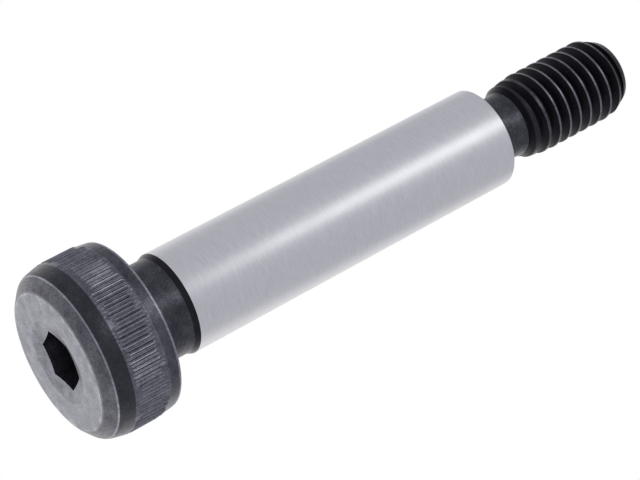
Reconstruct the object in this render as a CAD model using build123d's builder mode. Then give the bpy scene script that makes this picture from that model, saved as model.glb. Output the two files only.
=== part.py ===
from build123d import *
from math import ceil, cos, pi, radians, tan
import os

# Hexagon socket head shoulder bolt, turned, knurled, thread-rolled and ground from one bar of
# alloy steel. Millimetres, +Z up. The bolt stands on the face of its head and the origin is the
# centre of that face, so every height is counted from there and the thread is at the top.

# Head. Each step and taper is counted inwards from the surface beside it.
head_height = 4.5
knurl_diameter = 10.17
front_band_height = 0.9
front_band_step = 0.055
front_band_taper = 0.19
rear_band_height = 0.75
rear_band_step = 0.065
rear_band_taper = 0.09
face_chamfer_height = 0.6
face_chamfer_width = 0.71

# Straight knurl round the head
knurl_count = 72
knurl_groove_depth = 0.12
knurl_crest_width = 0.12

# Hexagon socket, in a shallow round recess with a sloped wall, and with the cone of its drilled
# start at the bottom. The recess clears the hexagon's corners by the mouth margin.
socket_across_flats = 3.05
socket_depth = 2.4
socket_mouth_margin = 0.52
socket_mouth_depth = 0.18
drill_point_angle = 118

# Ground shoulder, its length counted from the bearing face
shoulder_diameter = 5.98
shoulder_length = 25
shoulder_edge_chamfer = 0.06

# Relief under the head, and the lead-in from it to the shoulder
neck_length = 2.3
neck_relief = 0.16
neck_corner = 0.3
lead_in_length = 0.37

# Threaded end, its length counted from the end of the shoulder. The crests of the thread lie
# below the shoulder by the thread step, and the neck and the tip lie below its roots. Beside
# the neck the crests start low and rise to the thread's full diameter along the lead.
thread_end_length = 9.75
thread_step = 0.515
thread_pitch = 0.8
thread_angle = 60
thread_neck_length = 1.92
thread_neck_clearance = 0.05
thread_neck_corner = 0.3
thread_neck_angle = 45
thread_lead_step = 0.22
thread_lead_length = 1.3
tip_clearance = 0.035
tip_chamfer_length = 1.1

# A cutter stands this far proud of the surface that it cuts
cutter_margin = 0.05

# Heights that follow from the sizes above
shoulder_end = head_height + shoulder_length
tip_height = shoulder_end + thread_end_length
neck_end = head_height + neck_length
shoulder_start = neck_end + lead_in_length
thread_neck_end = shoulder_end + thread_neck_length
knurl_bottom = face_chamfer_height + front_band_height
knurl_top = head_height - rear_band_height

# Radii that follow from them
knurl_radius = knurl_diameter / 2
front_band_radius = knurl_radius - front_band_step
rear_band_radius = knurl_radius - rear_band_step
bearing_face_radius = rear_band_radius - rear_band_taper
chamfer_radius = front_band_radius - front_band_taper
face_radius = chamfer_radius - face_chamfer_width
shoulder_radius = shoulder_diameter / 2
neck_radius = shoulder_radius - neck_relief
thread_radius = shoulder_radius - thread_step
socket_radius = socket_across_flats / 2
socket_mouth_radius = socket_radius / cos(pi / 6) + socket_mouth_margin

# Knurl groove: a V between two flat crests
knurl_groove_width = pi * knurl_diameter / knurl_count - knurl_crest_width
knurl_flank_slope = knurl_groove_width / 2 / knurl_groove_depth
knurl_mouth = knurl_groove_width / 2 + cutter_margin * knurl_flank_slope

# Thread groove: the standard form, whose crest is an eighth of the pitch wide and whose depth
# is 17/24 of the height of the full V
flank_slope = tan(radians(thread_angle / 2))
thread_depth = 17 / 24 * thread_pitch / 2 / flank_slope
thread_root_radius = thread_radius - thread_depth
thread_mouth = thread_pitch * 7 / 16 + cutter_margin * flank_slope
thread_root = thread_pitch * 7 / 16 - thread_depth * flank_slope
thread_neck_radius = thread_root_radius - thread_neck_clearance

# The groove starts beside the neck, where it is clear of the bolt, and its turns run past the tip
thread_lead_radius = thread_radius - thread_lead_step
thread_neck_cone = (thread_lead_radius - thread_neck_radius) / tan(radians(thread_neck_angle))
thread_lead_start = thread_neck_end + thread_neck_cone
thread_start = thread_neck_end - thread_pitch
thread_turns = ceil((tip_height + thread_mouth - thread_start) / thread_pitch)


# Section of the thread's groove, at the height where the thread starts
with BuildSketch(Plane.XZ) as groove_section:
    with BuildLine():
        Polyline(
            (thread_root_radius, thread_start - thread_root),
            (thread_radius + cutter_margin, thread_start - thread_mouth),
            (thread_radius + cutter_margin, thread_start + thread_mouth),
            (thread_root_radius, thread_start + thread_root),
            close=True,
        )
    make_face()

# One turn of the groove, to be repeated up the thread
with BuildPart() as groove_turn:
    with BuildLine() as turn_path:
        Helix(thread_pitch, thread_pitch, thread_root_radius, center=(0, 0, thread_start))
    sweep(groove_section.sketch, path=turn_path.line, is_frenet=True)


# Threaded end: a bar of the thread's full diameter, cut by the groove and then turned to the
# outline of the neck and the tip
with BuildPart() as threaded_end:
    with Locations((0, 0, shoulder_end)):
        Cylinder(
            thread_radius,
            thread_end_length + thread_pitch,
            align=(Align.CENTER, Align.CENTER, Align.MIN),
        )
    with Locations([(0, 0, turn * thread_pitch) for turn in range(thread_turns)]):
        add(groove_turn.part, mode=Mode.SUBTRACT)
    with BuildSketch(Plane.XZ):
        with BuildLine():
            Polyline(
                (0, shoulder_end),
                (thread_neck_radius + thread_neck_corner, shoulder_end),
                (thread_neck_radius, shoulder_end + thread_neck_corner),
                (thread_neck_radius, thread_neck_end),
                (thread_lead_radius, thread_lead_start),
                (thread_radius, thread_lead_start + thread_lead_length),
                (thread_radius, tip_height - tip_chamfer_length),
                (thread_root_radius - tip_clearance, tip_height),
                (0, tip_height),
                close=True,
            )
        make_face()
    revolve(axis=Axis.Z, mode=Mode.INTERSECT)


# One groove of the knurl, from one plain band to the other
with BuildPart() as knurl_groove:
    with BuildSketch(Plane.XY.offset(knurl_bottom)):
        with BuildLine():
            Polyline(
                (knurl_radius - knurl_groove_depth, 0),
                (knurl_radius + cutter_margin, knurl_mouth),
                (knurl_radius + cutter_margin, -knurl_mouth),
                close=True,
            )
        make_face()
    extrude(amount=knurl_top - knurl_bottom)


with BuildPart() as shoulder_bolt:
    # Head, neck and shoulder, turned as one outline from the centre of the face
    with BuildSketch(Plane.XZ):
        with BuildLine():
            Polyline(
                (0, 0),
                (face_radius, 0),
                (chamfer_radius, face_chamfer_height),
                (front_band_radius, knurl_bottom),
                (knurl_radius, knurl_bottom),
                (knurl_radius, knurl_top),
                (rear_band_radius, knurl_top),
                (bearing_face_radius, head_height),
                (neck_radius + neck_corner, head_height),
                (neck_radius, head_height + neck_corner),
                (neck_radius, neck_end),
                (shoulder_radius, shoulder_start),
                (shoulder_radius, shoulder_end - shoulder_edge_chamfer),
                (shoulder_radius - shoulder_edge_chamfer, shoulder_end),
                (0, shoulder_end),
                close=True,
            )
        make_face()
    revolve(axis=Axis.Z)

    # Socket: the recess at its mouth, the broached hexagon and the drilled cone at its bottom
    Cone(
        socket_mouth_radius,
        socket_mouth_radius - socket_mouth_depth,
        socket_mouth_depth,
        align=(Align.CENTER, Align.CENTER, Align.MIN),
        mode=Mode.SUBTRACT,
    )
    with BuildSketch():
        RegularPolygon(socket_radius, 6, major_radius=False)
    extrude(amount=socket_depth, mode=Mode.SUBTRACT)
    with Locations((0, 0, socket_depth)):
        Cone(
            socket_radius,
            0,
            socket_radius / tan(radians(drill_point_angle / 2)),
            align=(Align.CENTER, Align.CENTER, Align.MIN),
            mode=Mode.SUBTRACT,
        )

    with PolarLocations(0, knurl_count):
        add(knurl_groove.part, mode=Mode.SUBTRACT)

    add(threaded_end.part)

shoulder_bolt.part.label = "shoulder_bolt"
os.makedirs("parts", exist_ok=True)
export_step(shoulder_bolt.part, "parts/shoulder_bolt.step")
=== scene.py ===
import bmesh
import bpy
from math import atan2, cos, degrees, hypot, pi, radians, sin, tan
from random import Random
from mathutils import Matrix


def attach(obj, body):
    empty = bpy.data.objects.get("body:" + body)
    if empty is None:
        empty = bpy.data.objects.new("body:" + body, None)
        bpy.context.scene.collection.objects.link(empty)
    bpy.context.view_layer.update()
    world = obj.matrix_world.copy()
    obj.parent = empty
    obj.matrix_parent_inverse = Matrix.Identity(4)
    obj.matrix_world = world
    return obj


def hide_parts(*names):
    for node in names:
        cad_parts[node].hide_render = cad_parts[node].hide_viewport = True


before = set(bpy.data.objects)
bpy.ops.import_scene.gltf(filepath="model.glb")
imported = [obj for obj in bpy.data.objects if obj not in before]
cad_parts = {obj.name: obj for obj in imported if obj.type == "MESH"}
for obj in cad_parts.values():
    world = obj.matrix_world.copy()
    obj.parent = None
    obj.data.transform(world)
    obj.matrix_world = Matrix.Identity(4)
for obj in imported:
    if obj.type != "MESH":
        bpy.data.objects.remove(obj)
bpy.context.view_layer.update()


# Turned blank. The bolt starts as one steel bar, turned to the outline of its head, necks,
# shoulder and threaded end. Here a ring of points, begun in the dish that the socket's punch
# draws into the face, is extruded from size to size up the bar. Sizes are in millimetres.
mm = 0.001
points_round = 720

head_height = 4.5
dish_radius = 2.42
dish_depth = 0.43
dish_rings = 6
face_radius = 4.13
face_chamfer_height = 0.6
chamfer_radius = 4.84
front_band_radius = 5.03
knurl_radius = 5.085
knurl_bottom = 1.5
knurl_top = 3.75
knurl_rows = 25
knurl_step = (knurl_top - knurl_bottom) / knurl_rows
rear_band_radius = 5.02
bearing_face_radius = 4.93

# A ring close to each end of the rear band keeps the shading of its ends off its middle
start_ring_inset = 0.01
start_ring_rise = 0.08
rim_ring_outset = 0.02
rim_ring_drop = 0.15

neck_radius = 2.83
neck_end = 6.8
shoulder_radius = 2.99
shoulder_start = 7.17
shoulder_end = 29.5
shoulder_edge = 0.06

# The thread's groove has 17/24 of the depth of a full V. Its neck ends in a cone of 45 degrees,
# and from there the crests rise to their full radius along the lead.
thread_radius = 2.475
thread_pitch = 0.8
flank_angle = 30
flank_slope = tan(radians(flank_angle))
thread_depth = 17 / 24 * thread_pitch / 2 / flank_slope
thread_root_radius = thread_radius - thread_depth
thread_neck_clearance = 0.05
thread_neck_length = 1.92
thread_neck_radius = thread_root_radius - thread_neck_clearance
thread_neck_end = shoulder_end + thread_neck_length
thread_lead_step = 0.22
thread_lead_length = 1.3
thread_lead_radius = thread_radius - thread_lead_step
thread_lead_start = thread_neck_end + thread_lead_radius - thread_neck_radius
tip_height = 39.25
tip_chamfer_length = 1.1
tip_clearance = 0.035
tip_radius = thread_root_radius - tip_clearance

blank_outline = [
    (dish_radius * ring / dish_rings, dish_depth * (1 - (ring / dish_rings) ** 2))
    for ring in range(1, dish_rings + 1)
]
blank_outline += [
    (face_radius, 0),
    (chamfer_radius, face_chamfer_height),
    (front_band_radius, knurl_bottom - knurl_step),
    (front_band_radius, knurl_bottom),
]
blank_outline += [
    (knurl_radius, knurl_bottom + knurl_step * row) for row in range(1, knurl_rows)
]
blank_outline += [
    (rear_band_radius, knurl_top),
    (rear_band_radius - start_ring_inset, knurl_top + start_ring_rise),
    (bearing_face_radius + rim_ring_outset, head_height - rim_ring_drop),
    (bearing_face_radius, head_height),
    (neck_radius, head_height),
    (neck_radius, neck_end),
    (shoulder_radius, shoulder_start),
    (shoulder_radius, shoulder_end - shoulder_edge),
    (shoulder_radius - shoulder_edge, shoulder_end),
    (thread_neck_radius, shoulder_end),
    (thread_neck_radius, thread_neck_end),
    (thread_lead_radius, thread_lead_start),
    (thread_radius, thread_lead_start + thread_lead_length),
    (thread_radius, tip_height - tip_chamfer_length),
    (tip_radius, tip_height),
]

bpy.ops.object.select_all(action="DESELECT")
bpy.ops.mesh.primitive_circle_add(
    vertices=points_round,
    radius=blank_outline[0][0] * mm,
    location=(0, 0, blank_outline[0][1] * mm),
    fill_type="NGON",
)
bpy.ops.object.transform_apply(location=True, rotation=False, scale=False)
bolt = bpy.context.object
bolt.name = "shoulder_bolt_turned"
bpy.ops.object.mode_set(mode="EDIT")
for (near_radius, near_height), (radius, height) in zip(blank_outline, blank_outline[1:]):
    bpy.ops.mesh.extrude_region_move(
        TRANSFORM_OT_translate={"value": (0, 0, (height - near_height) * mm)}
    )
    bpy.ops.transform.resize(
        value=(radius / near_radius, radius / near_radius, 1), center_override=(0, 0, 0)
    )
bpy.ops.mesh.select_all(action="SELECT")
bpy.ops.mesh.normals_make_consistent(inside=False)


def select(piece, wanted):
    """In edit mode, select the points that the test takes by radius, angle and height."""
    mesh = bmesh.from_edit_mesh(piece.data)
    for point in mesh.verts:
        x, y, z = point.co / mm
        point.select_set(wanted(hypot(x, y), degrees(atan2(y, x)) % 360, z))
    mesh.select_flush_mode()
    bmesh.update_edit_mesh(piece.data)


def near(value, size, tolerance=0.002):
    return abs(value - size) < tolerance


# Straight knurl. It is rolled into the head with a toothed wheel, which presses one V groove in
# every five degrees and raises a thin lip on both sides of it. Before and behind a groove the
# head keeps the size of its plain bands, and the grooves don't all start or end level.
grooves = 72
groove_angle = 360 / grooves
points_per_groove = points_round // grooves

# Depths below the full radius, from the middle of a groove over its lip to the middle of the
# crest beside it, and before and behind the groove
lip_profile = [0.085, 0.058, 0.016, 0.003, 0.04, 0.058]
plain_depth = 0.055

# How many rows of points late each groove starts, and how many early it ends
row_shifts = 4
knurl_random = Random(7)
late_starts = [knurl_random.randrange(row_shifts) for groove in range(grooves)]
early_ends = [knurl_random.randrange(row_shifts) for groove in range(grooves)]

for across_wanted, depth in enumerate(lip_profile):
    end_depths = {-1: plain_depth, 0: (plain_depth + depth) / 2, 1: depth}
    for inside_wanted, row_depth in end_depths.items():

        def in_groove(radius, angle, height):
            """Whether a point is as far across its groove, and inside its ends, as wanted."""
            row = round((height - knurl_bottom) / knurl_step)
            if not 0 < row < knurl_rows:
                return False
            step = round(angle / groove_angle * points_per_groove)
            groove = round(step / points_per_groove)
            across = abs(step - groove * points_per_groove)
            rows_inside = min(
                row - 1 - late_starts[groove % grooves],
                knurl_rows - 1 - early_ends[groove % grooves] - row,
            )
            return across == across_wanted and max(-1, min(rows_inside, 1)) == inside_wanted

        select(bolt, in_groove)
        shrink = 1 - row_depth / knurl_radius
        bpy.ops.transform.resize(value=(shrink, shrink, 1), center_override=(0, 0, 0))


# Rounded edges. Tumbling and handling leave no edge of the head sharp, and the tool that
# turned the necks had a rounded nose. Each ring has its radius and height, and the width of its
# rounding and the steps in it.
edge_roundings = [
    (dish_radius, 0, 0.05, 2),
    (face_radius, 0, 0.14, 4),
    (chamfer_radius, face_chamfer_height, 0.2, 4),
    (bearing_face_radius, head_height, 0.07, 3),
    (neck_radius, head_height, 0.3, 5),
    (neck_radius, neck_end, 0.12, 3),
    (thread_neck_radius, shoulder_end, 0.3, 5),
    (thread_neck_radius, thread_neck_end, 0.15, 3),
    (tip_radius, tip_height, 0.08, 3),
]
for ring_radius, ring_height, rounding, steps in edge_roundings:
    select(
        bolt,
        lambda radius, angle, height: near(radius, ring_radius) and near(height, ring_height),
    )
    bpy.ops.mesh.bevel(offset=rounding * mm, offset_type="OFFSET", segments=steps)
bpy.ops.object.mode_set(mode="OBJECT")


# Thread, M5 with a pitch of 0.8 mm, rolled in between two dies. Here it is cut: the cutter is
# the groove's own section, with a flare that leaves the crests dulled, wound up the bar from
# beside its neck and on past the tip.
turn_steps = 96
thread_turns = 12
thread_start = thread_neck_end - thread_pitch
groove_half_width = thread_pitch * 7 / 16
root_half_width = groove_half_width - thread_depth * flank_slope
root_rounding = 0.05
flare_depth = 0.025
flare_half_width = groove_half_width - flare_depth * flank_slope
stand_off = 0.05

groove_section = [
    (thread_root_radius, -root_half_width + root_rounding),
    (thread_root_radius + root_rounding * flank_slope, -root_half_width),
    (thread_radius - flare_depth, -flare_half_width),
    (thread_radius + stand_off, -groove_half_width - stand_off),
    (thread_radius + stand_off, groove_half_width + stand_off),
    (thread_radius - flare_depth, flare_half_width),
    (thread_root_radius + root_rounding * flank_slope, root_half_width),
    (thread_root_radius, root_half_width - root_rounding),
]
groove_section = [(radius, thread_start + height) for radius, height in groove_section]

# One point is pulled out into one edge after another, and the last edge joins its two ends
bpy.ops.object.select_all(action="DESELECT")
bpy.ops.mesh.primitive_plane_add(size=mm)
thread_cutter = bpy.context.object
bpy.ops.object.mode_set(mode="EDIT")
bpy.ops.mesh.merge(type="CENTER")
x, z = groove_section[0]
bpy.ops.transform.translate(value=(x * mm, 0, z * mm))
for (near_x, near_z), (x, z) in zip(groove_section, groove_section[1:]):
    move = ((x - near_x) * mm, 0, (z - near_z) * mm)
    bpy.ops.mesh.extrude_region_move(TRANSFORM_OT_translate={"value": move})
select(
    thread_cutter,
    lambda radius, angle, height: any(
        near(radius, x) and near(height, z) for x, z in (groove_section[0], groove_section[-1])
    ),
)
bpy.ops.mesh.edge_face_add()
bpy.ops.object.mode_set(mode="OBJECT")

bpy.ops.object.modifier_add(type="SCREW")
winding = thread_cutter.modifiers[-1]
winding.angle = 2 * pi * thread_turns
winding.screw_offset = thread_turns * thread_pitch * mm
winding.steps = winding.render_steps = thread_turns * turn_steps
bpy.ops.object.modifier_apply(modifier=winding.name)
bpy.ops.object.mode_set(mode="EDIT")
bpy.ops.mesh.select_all(action="SELECT")
bpy.ops.mesh.fill_holes(sides=0)
bpy.ops.mesh.select_all(action="SELECT")
bpy.ops.mesh.normals_make_consistent(inside=False)
bpy.ops.object.mode_set(mode="OBJECT")


def cut(piece, tool):
    """Cut the tool out of the piece and remove the tool."""
    bpy.ops.object.select_all(action="DESELECT")
    bpy.context.view_layer.objects.active = piece
    piece.select_set(True)
    bpy.ops.object.modifier_add(type="BOOLEAN")
    boolean = piece.modifiers[-1]
    boolean.operation = "DIFFERENCE"
    boolean.solver = "EXACT"
    boolean.object = tool
    bpy.ops.object.modifier_apply(modifier=boolean.name)
    bpy.data.objects.remove(tool)


cut(bolt, thread_cutter)


# Hexagon socket. It is punched over a drilled start, whose cone is left at its bottom. The
# punch has drawn the face in round it to a shallow dish, which the blank already has.
across_flats = 3.05
socket_depth = 2.4
socket_sides = 6
corner_radius = across_flats / 2 / cos(pi / socket_sides)
drill_point_angle = 118
drill_steps = 96
drill_clearance = 0.01
drill_radius = across_flats / 2 - drill_clearance
drill_length = drill_radius / tan(radians(drill_point_angle / 2))
overlap = 0.02
weld_distance = 0.001

bpy.ops.object.select_all(action="DESELECT")
bpy.ops.mesh.primitive_cylinder_add(
    vertices=socket_sides,
    radius=corner_radius * mm,
    depth=socket_depth * mm,
    location=(0, 0, socket_depth / 2 * mm),
    rotation=(0, 0, pi / socket_sides),
)
bpy.ops.object.transform_apply(location=True, rotation=True, scale=False)
cut(bolt, bpy.context.object)

bpy.ops.object.select_all(action="DESELECT")
bpy.ops.mesh.primitive_cone_add(
    vertices=drill_steps,
    radius1=drill_radius * mm,
    depth=drill_length * mm,
    location=(0, 0, (socket_depth - overlap + drill_length / 2) * mm),
)
bpy.ops.object.transform_apply(location=True, rotation=False, scale=False)
cut(bolt, bpy.context.object)

# The cuts leave a few points on top of each other
bpy.ops.object.mode_set(mode="EDIT")
bpy.ops.mesh.select_all(action="SELECT")
bpy.ops.mesh.remove_doubles(threshold=weld_distance * mm)
bpy.ops.mesh.dissolve_degenerate(threshold=weld_distance * mm)
bpy.ops.mesh.select_all(action="SELECT")
bpy.ops.mesh.delete_loose(use_verts=True, use_edges=True, use_faces=False)
bpy.ops.object.mode_set(mode="OBJECT")


# Black oxide. The whole bolt is blacked in a hot salt bath, which leaves a satin film a few
# microns thick. Rubbing thins it, so steel shows through on the face, the lips and the crests.
def linear(code):
    """An sRGB hex colour as the linear one that a shader takes."""
    parts = [int(code[start : start + 2], 16) / 255 for start in (1, 3, 5)]
    return [
        part / 12.92 if part <= 0.04045 else ((part + 0.055) / 1.055) ** 2.4 for part in parts
    ] + [1]


def add_node(tree, kind, values=None, links=None, **settings):
    """A node with its settings, the values of its inputs and what feeds them."""
    node = tree.nodes.new(kind)
    for name, value in settings.items():
        setattr(node, name, value)
    for name, value in (values or {}).items():
        node.inputs[name].default_value = value
    for name, source in (links or {}).items():
        tree.links.new(source, node.inputs[name])
    return node


def new_finish(name):
    """A new material and its empty node tree."""
    finish = bpy.data.materials.new(name)
    finish.use_nodes = True
    finish.node_tree.nodes.clear()
    return finish, finish.node_tree


# How far the black is rubbed off each place, from 0 where it is whole to 1 for bare steel. At
# the chamfer's edge the value is partly wear and partly a painted highlight line.
socket_thinning = 0
dish_thinning = 0.52
face_thinning = 0.6
chamfer_thinning = 0.32
# The chamfer's rounded edge is partly rubbed and partly lightened as a painted highlight line
# along it
chamfer_edge_wear_and_highlight = 0.6
front_band_thinning = 0.19
knurl_thinning = 0.37
lip_thinning = 0.63
rear_band_thinning = 0.27
rim_thinning = 0.62
neck_thinning = 0.23
lead_in_thinning = 0.08
crest_thinning = 0.4
lowest_crest_share = 0.25
tip_thinning = 0.42
thread_thinning = 0.03

# Where those places end, counted from the sizes of the blank
margin = 0.01
dish_start_height = 0.005
chamfer_edge_below = 0.06
chamfer_edge_above = 0.04
lip_reach = 0.018
rim_reach = 0.12
rim_width = 0.15
tip_reach = 0.2


def thinning_and_highlight(radius, height):
    """How far the black is rubbed off at this radius and height, with a painted highlight on the
    chamfer's edge.
    """
    if dish_depth < height < head_height and radius < corner_radius + margin:
        return socket_thinning
    if dish_start_height < height < dish_depth and radius < dish_radius:
        return dish_thinning
    if height < margin:
        return face_thinning
    if height < face_chamfer_height - chamfer_edge_below:
        return chamfer_thinning
    # The chamfer's edge, rubbed, and lightened further as a painted highlight
    if height < face_chamfer_height + chamfer_edge_above:
        return chamfer_edge_wear_and_highlight
    if height < knurl_bottom + margin:
        return front_band_thinning
    if height < knurl_top - margin:
        return lip_thinning if radius > knurl_radius - lip_reach else knurl_thinning
    if height < head_height - rim_reach:
        return rear_band_thinning
    if height < head_height + margin:
        return rim_thinning if radius > rear_band_radius - rim_width else neck_thinning
    if neck_end < height < shoulder_start:
        return lead_in_thinning
    if height < thread_neck_end:
        return neck_thinning
    if height > tip_height - tip_reach:
        return tip_thinning
    lead = min(1, max(0, (height - thread_lead_start) / thread_lead_length))
    crest_radius = thread_lead_radius + (thread_radius - thread_lead_radius) * lead
    if radius > crest_radius - margin:
        crest_share = lowest_crest_share + (1 - lowest_crest_share) * lead**2
        return thread_thinning + (crest_thinning - thread_thinning) * crest_share
    return thread_thinning


layer = bolt.data.attributes.new("thinning_and_highlight", "FLOAT", "FACE")
layer.data.foreach_set(
    "value",
    [
        thinning_and_highlight(hypot(face.center.x, face.center.y) / mm, face.center.z / mm)
        for face in bolt.data.polygons
    ],
)

# Patches of handling are about 0.7 mm wide, and the turning marks 0.07 mm apart and a millimetre
# long. The grain of the film is a few microns and is drawn as specks of 0.1 mm, to be seen. Near
# the outer edge of the face the steel shows more, up to a frayed line.
patches_per_mm = 1.4
tool_marks_per_mm = 1.1
tool_mark_flatness = 14
specks_per_mm = 9
patch_change = {"To Min": 0.75, "To Max": 1.15}
speck_change = {"To Min": 0.84, "To Max": 1.16}
worn_edge_start = 0.2
worn_edge_end = 0.05
worn_edge_fray = 0.1
worn_edge_thinning = 0.16
face_rounding_start = 0.02
face_rounding_end = 0.06
whole_black = "#0d0d10"
rubbed_tones = {0.2: "#44444a", 0.4: "#75757d", 0.62: "#9898a2"}
steel_tone = "#d4d4d8"
oxide_roughness = {"To Min": 0.26, "To Max": 0.38}
oxide_relief = 0.5
relief_depth = 0.02

# Nearly all of a noise lies in the wider of these ranges, and most of it in the other
noise_range = {"From Min": 0.3, "From Max": 0.7}
wide_noise_range = {"From Min": 0.25, "From Max": 0.75}

black_oxide, tree = new_finish("black_oxide_on_turned_steel")
place = add_node(tree, "ShaderNodeTexCoord").outputs["Object"]
rubbed_and_highlit = add_node(tree, "ShaderNodeAttribute", attribute_name="thinning_and_highlight").outputs["Fac"]
patches = add_node(
    tree,
    "ShaderNodeTexNoise",
    {"Scale": patches_per_mm / mm, "Detail": 4, "Roughness": 0.65},
    {"Vector": place},
)
tool_marks_place = add_node(
    tree, "ShaderNodeMapping", {"Scale": (1, 1, tool_mark_flatness)}, {"Vector": place}
)
tool_marks = add_node(
    tree,
    "ShaderNodeTexNoise",
    {"Scale": tool_marks_per_mm / mm, "Detail": 2, "Roughness": 0.5},
    {"Vector": tool_marks_place.outputs[0]},
)
specks = add_node(
    tree,
    "ShaderNodeTexNoise",
    {"Scale": specks_per_mm / mm, "Detail": 2, "Roughness": 0.6},
    {"Vector": place},
)
patch_share = add_node(
    tree,
    "ShaderNodeMapRange",
    {**noise_range, **patch_change},
    {"Value": patches.outputs[0]},
)
patched = add_node(
    tree, "ShaderNodeMath", operation="MULTIPLY", links={0: rubbed_and_highlit, 1: patch_share.outputs[0]}
)
speck_share = add_node(
    tree,
    "ShaderNodeMapRange",
    {**noise_range, **speck_change},
    {"Value": specks.outputs[0]},
)
speckled = add_node(
    tree,
    "ShaderNodeMath",
    operation="MULTIPLY",
    links={0: patched.outputs[0], 1: speck_share.outputs[0]},
)
outwards = add_node(
    tree, "ShaderNodeVectorMath", {1: (1, 1, 0)}, {0: place}, operation="MULTIPLY"
)
from_axis = add_node(
    tree, "ShaderNodeVectorMath", links={0: outwards.outputs[0]}, operation="LENGTH"
)
frayed = add_node(
    tree,
    "ShaderNodeMapRange",
    {**noise_range, "To Min": -worn_edge_fray * mm, "To Max": worn_edge_fray * mm},
    {"Value": patches.outputs[0]},
)
frayed_radius = add_node(
    tree,
    "ShaderNodeMath",
    operation="ADD",
    links={0: from_axis.outputs["Value"], 1: frayed.outputs[0]},
)
beyond_edge = add_node(
    tree,
    "ShaderNodeMapRange",
    {
        "From Min": (face_radius - worn_edge_start) * mm,
        "From Max": (face_radius - worn_edge_end) * mm,
        "To Max": worn_edge_thinning,
    },
    {"Value": frayed_radius.outputs[0]},
)
height_above = add_node(tree, "ShaderNodeSeparateXYZ", links={0: place})
on_face = add_node(
    tree,
    "ShaderNodeMapRange",
    {"From Min": face_rounding_end * mm, "From Max": face_rounding_start * mm},
    {"Value": height_above.outputs["Z"]},
)
worn_edge = add_node(
    tree,
    "ShaderNodeMath",
    operation="MULTIPLY",
    links={0: beyond_edge.outputs[0], 1: on_face.outputs[0]},
)
steel_and_highlight_showing = add_node(
    tree,
    "ShaderNodeMath",
    operation="ADD",
    use_clamp=True,
    links={0: speckled.outputs[0], 1: worn_edge.outputs[0]},
)
tone = add_node(tree, "ShaderNodeValToRGB", links={0: steel_and_highlight_showing.outputs[0]})
tone.color_ramp.elements[0].color = linear(whole_black)
tone.color_ramp.elements[1].color = linear(steel_tone)
for position, code in rubbed_tones.items():
    tone.color_ramp.elements.new(position).color = linear(code)
roughness = add_node(
    tree,
    "ShaderNodeMapRange",
    {**wide_noise_range, **oxide_roughness},
    {"Value": tool_marks.outputs[0]},
)
height = add_node(
    tree,
    "ShaderNodeMath",
    operation="ADD",
    links={0: tool_marks.outputs[0], 1: specks.outputs[0]},
)
relief = add_node(
    tree,
    "ShaderNodeBump",
    {"Strength": oxide_relief, "Distance": relief_depth * mm},
    {"Height": height.outputs[0]},
)
shader = add_node(
    tree,
    "ShaderNodeBsdfPrincipled",
    {"Metallic": 1},
    {
        "Base Color": tone.outputs[0],
        "Roughness": roughness.outputs[0],
        "Normal": relief.outputs[0],
    },
)
add_node(tree, "ShaderNodeOutputMaterial", links={"Surface": shader.outputs["BSDF"]})


# Ground steel. The shoulder is finished between two grinding wheels after the blacking, which
# bares it and leaves short fine marks round it, so it is bright but satin. The marks are a few
# microns wide and are drawn 0.07 mm apart, to be seen. The clouds are 3 mm wide.
marks_per_mm = 1.6
mark_flatness = 9
clouds_per_mm = 0.35
ground_tone = "#dedee0"
ground_change = {"To Min": 0.93, "To Max": 1.05}
ground_roughness = {"To Min": 0.33, "To Max": 0.41}
ground_relief = 0.3
two_noises_range = {"From Min": 0.7, "From Max": 1.3}

ground_steel, tree = new_finish("centreless_ground_steel")
place = add_node(tree, "ShaderNodeTexCoord").outputs["Object"]
marks_place = add_node(
    tree, "ShaderNodeMapping", {"Scale": (1, 1, mark_flatness)}, {"Vector": place}
)
marks = add_node(
    tree,
    "ShaderNodeTexNoise",
    {"Scale": marks_per_mm / mm, "Detail": 3, "Roughness": 0.6},
    {"Vector": marks_place.outputs[0]},
)
clouds = add_node(
    tree, "ShaderNodeTexNoise", {"Scale": clouds_per_mm / mm, "Detail": 3}, {"Vector": place}
)
tone_share = add_node(
    tree,
    "ShaderNodeMapRange",
    {**noise_range, **ground_change},
    {"Value": marks.outputs[0]},
)
tone = add_node(
    tree,
    "ShaderNodeVectorMath",
    {1: linear(ground_tone)[:3]},
    {0: tone_share.outputs[0]},
    operation="MULTIPLY",
)
both = add_node(
    tree,
    "ShaderNodeMath",
    operation="ADD",
    links={0: marks.outputs[0], 1: clouds.outputs[0]},
)
roughness = add_node(
    tree,
    "ShaderNodeMapRange",
    {**two_noises_range, **ground_roughness},
    {"Value": both.outputs[0]},
)
relief = add_node(
    tree,
    "ShaderNodeBump",
    {"Strength": ground_relief, "Distance": relief_depth * mm},
    {"Height": marks.outputs[0]},
)
shader = add_node(
    tree,
    "ShaderNodeBsdfPrincipled",
    {"Metallic": 1},
    {
        "Base Color": tone.outputs[0],
        "Roughness": roughness.outputs[0],
        "Normal": relief.outputs[0],
    },
)
add_node(tree, "ShaderNodeOutputMaterial", links={"Surface": shader.outputs["BSDF"]})

# The shoulder takes the ground finish, and all the rest the black. Edges of less than the angle
# in degrees are shaded smooth.
smooth_angle = 40

bolt.data.materials.clear()
bolt.data.materials.append(black_oxide)
bolt.data.materials.append(ground_steel)
for face in bolt.data.polygons:
    x, y, z = face.center / mm
    on_shoulder = shoulder_start < z < shoulder_end and hypot(x, y) > neck_radius
    face.material_index = int(on_shoulder)

bpy.ops.object.select_all(action="DESELECT")
bpy.context.view_layer.objects.active = bolt
bolt.select_set(True)
bpy.ops.object.shade_smooth_by_angle(angle=radians(smooth_angle))
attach(bolt, "root")
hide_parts("shoulder_bolt")


# Floor. A sheet of matt white card that the bolt stands on. The photograph looks at the face of
# the head, from under the floor's height, so the card shows only to a camera above it and lets
# all other light through.
card_width = 1000
card_gap = 0.02
card_tone = "#f2f2f2"

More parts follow.
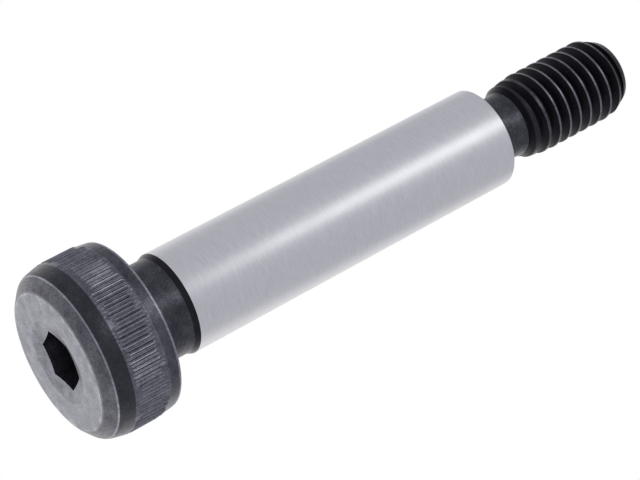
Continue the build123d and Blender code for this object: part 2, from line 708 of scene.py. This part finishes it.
bpy.ops.object.select_all(action="DESELECT")
bpy.ops.mesh.primitive_plane_add(size=card_width * mm, location=(0, 0, -card_gap * mm))
floor = bpy.context.object
floor.name = "floor"
card, tree = new_finish("white_card")
light_path = add_node(tree, "ShaderNodeLightPath")
geometry = add_node(tree, "ShaderNodeNewGeometry")
seen_from_above = add_node(
    tree,
    "ShaderNodeMath",
    operation="SUBTRACT",
    use_clamp=True,
    links={0: light_path.outputs["Is Camera Ray"], 1: geometry.outputs["Backfacing"]},
)
surface = add_node(tree, "ShaderNodeBsdfDiffuse", {"Color": linear(card_tone)})
clear = add_node(tree, "ShaderNodeBsdfTransparent")
mixed = add_node(
    tree,
    "ShaderNodeMixShader",
    links={0: seen_from_above.outputs[0], 1: clear.outputs[0], 2: surface.outputs[0]},
)
add_node(tree, "ShaderNodeOutputMaterial", links={"Surface": mixed.outputs[0]})
floor.data.materials.append(card)


# Light. A white backdrop stands behind the bolt and below it. The camera sees it on all sides,
# and metal and glass reflect it where it stands. The rest of the room is a dimmer, cool white,
# and one tall soft box hangs in it, over the camera and a little to one side.
backdrop_side = (-0.88, -0.13, -0.45)
backdrop_fade = (0.05, 0.6)
backdrop_tone = "#ffffff"
backdrop_strength = 1
room_tone = "#f5f6ff"
room_strength = 0.6

world = bpy.data.worlds.new("pale_studio")
bpy.context.scene.world = world
world.use_nodes = True
tree = world.node_tree
tree.nodes.clear()
light_path = add_node(tree, "ShaderNodeLightPath")
direction = add_node(tree, "ShaderNodeTexCoord").outputs["Object"]
towards_backdrop = add_node(
    tree,
    "ShaderNodeVectorMath",
    {1: backdrop_side},
    {0: direction},
    operation="DOT_PRODUCT",
)
backdrop_share = add_node(
    tree,
    "ShaderNodeMapRange",
    {"From Min": backdrop_fade[0], "From Max": backdrop_fade[1]},
    {"Value": towards_backdrop.outputs["Value"]},
    interpolation_type="SMOOTHSTEP",
)
by_metal_or_glass = add_node(
    tree,
    "ShaderNodeMath",
    operation="MAXIMUM",
    links={
        0: light_path.outputs["Is Glossy Ray"],
        1: light_path.outputs["Is Transmission Ray"],
    },
)
reflected = add_node(
    tree,
    "ShaderNodeMath",
    operation="MULTIPLY",
    links={0: by_metal_or_glass.outputs[0], 1: backdrop_share.outputs[0]},
)
backdrop_seen = add_node(
    tree,
    "ShaderNodeMath",
    operation="MAXIMUM",
    links={0: light_path.outputs["Is Camera Ray"], 1: reflected.outputs[0]},
)
room = add_node(
    tree, "ShaderNodeBackground", {"Color": linear(room_tone), "Strength": room_strength}
)
backdrop = add_node(
    tree,
    "ShaderNodeBackground",
    {"Color": linear(backdrop_tone), "Strength": backdrop_strength},
)
mixed = add_node(
    tree,
    "ShaderNodeMixShader",
    links={0: backdrop_seen.outputs[0], 1: room.outputs[0], 2: backdrop.outputs[0]},
)
add_node(tree, "ShaderNodeOutputWorld", links={"Surface": mixed.outputs[0]})

# The lamp faces the middle of the bolt, at an azimuth counted from the camera's
camera_place = (117.43, 31.657, -45.177)
camera_azimuth = degrees(atan2(camera_place[1], camera_place[0]))
lamp_azimuth = camera_azimuth - 9
lamp_elevation = 28
lamp_distance = 600
lamp_width = 200
lamp_height = 500
lamp_power = 0.38

lamp_out = lamp_distance * cos(radians(lamp_elevation))
bpy.ops.object.select_all(action="DESELECT")
bpy.ops.object.light_add(
    type="AREA",
    location=(
        lamp_out * cos(radians(lamp_azimuth)) * mm,
        lamp_out * sin(radians(lamp_azimuth)) * mm,
        (tip_height / 2 + lamp_distance * sin(radians(lamp_elevation))) * mm,
    ),
    rotation=(radians(90 - lamp_elevation), 0, radians(lamp_azimuth + 90)),
)
lamp = bpy.context.object
lamp.name = "key_soft_box"
lamp.data.shape = "RECTANGLE"
lamp.data.size = lamp_width * mm
lamp.data.size_y = lamp_height * mm
lamp.data.energy = lamp_power


# Camera, where the photograph was taken from. Its place, its turn in degrees and its focal
# length were fitted to the outline of the bolt in the photograph.
camera_turn = (137.322, -51.688, 64.303)
focal_pixels = 2448.88
image_width = 640
sensor_width = 36
nearest_seen = 1

bpy.ops.object.camera_add(
    location=[part * mm for part in camera_place],
    rotation=[radians(part) for part in camera_turn],
)
camera = bpy.context.object
camera.data.sensor_width = sensor_width
camera.data.lens = focal_pixels / image_width * sensor_width
camera.data.clip_start = nearest_seen * mm
bpy.context.scene.camera = camera

bpy.context.scene.view_settings.view_transform = "Standard"
